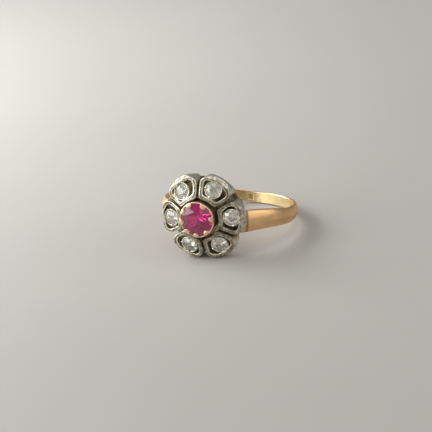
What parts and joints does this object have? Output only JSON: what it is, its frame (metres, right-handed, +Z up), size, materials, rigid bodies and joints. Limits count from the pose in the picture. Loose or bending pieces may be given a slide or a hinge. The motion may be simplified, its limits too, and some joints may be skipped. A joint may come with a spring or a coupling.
{
  "type": "flower cluster finger ring",
  "caption": "Finger ring lying on its side, with a tapered gold band and a silver petal flower that holds a round red middle stone among small white stones.",
  "frame": {"origin": "middle of the footprint, on the surface that the ring lies on", "axes": "+Z up, -Y the way the flower faces, +X towards the right shoulder as seen from the front"},
  "size_m": [0.0192, 0.0218, 0.0118],
  "materials": {
    "rose_gold": "satin, worn, rose yellow gold, brighter inside the band",
    "collet_gold": "polished rose gold",
    "silver": "old silver, bright on the rims and dark in the recesses",
    "ruby": "polished facets",
    "diamond": "polished facets"
  },
  "bodies": {
    "root": {"shank": "rose_gold", "rosette": "silver", "ruby_collet": "collet_gold", "ruby": "ruby", "diamond_1": "diamond", "diamond_2": "diamond", "diamond_3": "diamond", "diamond_4": "diamond", "diamond_5": "diamond", "diamond_6": "diamond"}
  },
  "joints": []
}
